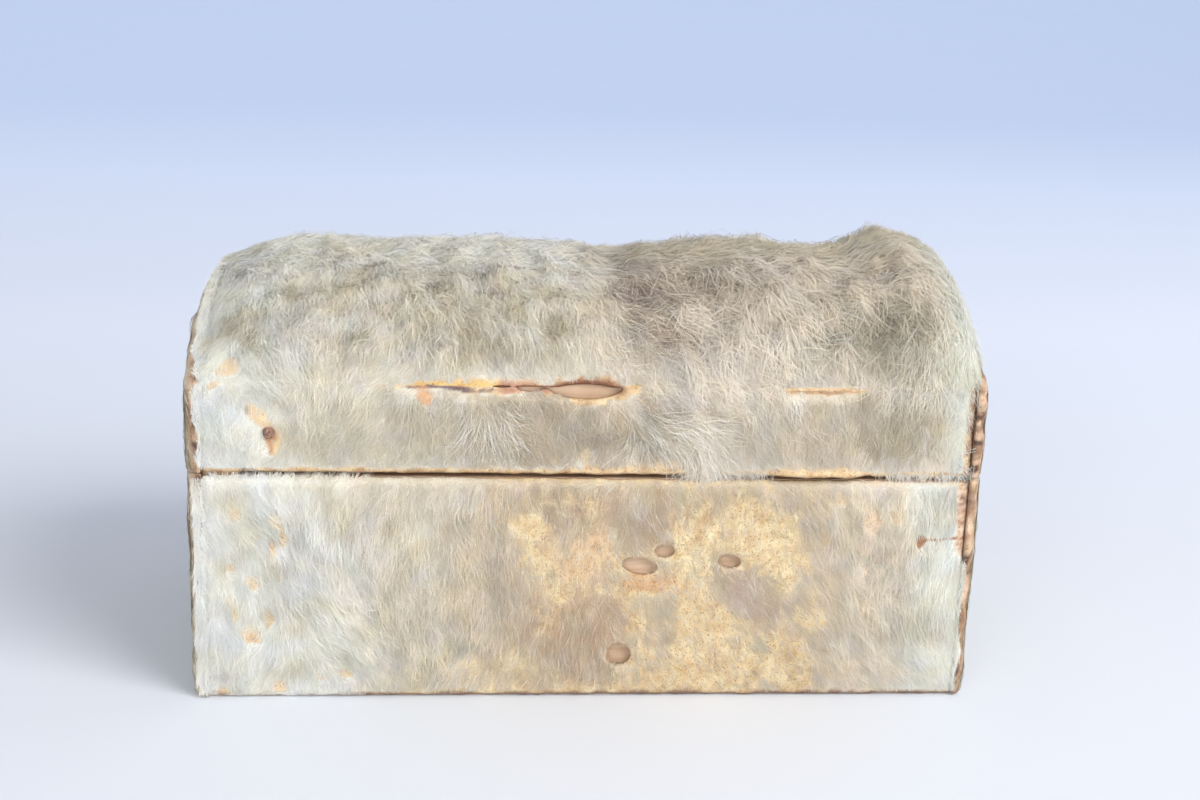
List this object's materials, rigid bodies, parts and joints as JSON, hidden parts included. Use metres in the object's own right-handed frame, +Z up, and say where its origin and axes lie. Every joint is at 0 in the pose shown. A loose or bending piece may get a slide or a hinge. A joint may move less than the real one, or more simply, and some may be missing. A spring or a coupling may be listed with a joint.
{
  "type": "hide-covered box",
  "caption": "Small wooden box with a domed lift-off lid, covered in raw hide with the fur side out, worn bare in places.",
  "frame": {"origin": "middle of the underside, on the surface that the box stands on", "axes": "+Z up, +X along the length to the right as seen from the front, -Y out of the front"},
  "size_m": [0.222, 0.1228, 0.1263],
  "materials": {
    "wood": "bare old softwood, dull",
    "hide": "raw hide with short grey-beige fur, bare yellow skin where worn",
    "rusty_iron": "rusted, dull"
  },
  "bodies": {
    "root": {"bottom_board": "wood", "front_board": "wood", "back_board": "wood", "left_end_board": "wood", "right_end_board": "wood", "lid_front_rail": "wood", "lid_back_rail": "wood", "lid_left_end": "wood", "lid_right_end": "wood", "lid_top_board": "wood", "body_front_hide": "hide", "body_back_hide": "hide", "body_left_hide": "hide", "body_right_hide": "hide", "lid_top_hide": "hide", "lid_left_hide": "hide", "lid_right_hide": "hide", "lid_front_tack": "rusty_iron", "body_front_tack": "rusty_iron"}
  },
  "joints": []
}
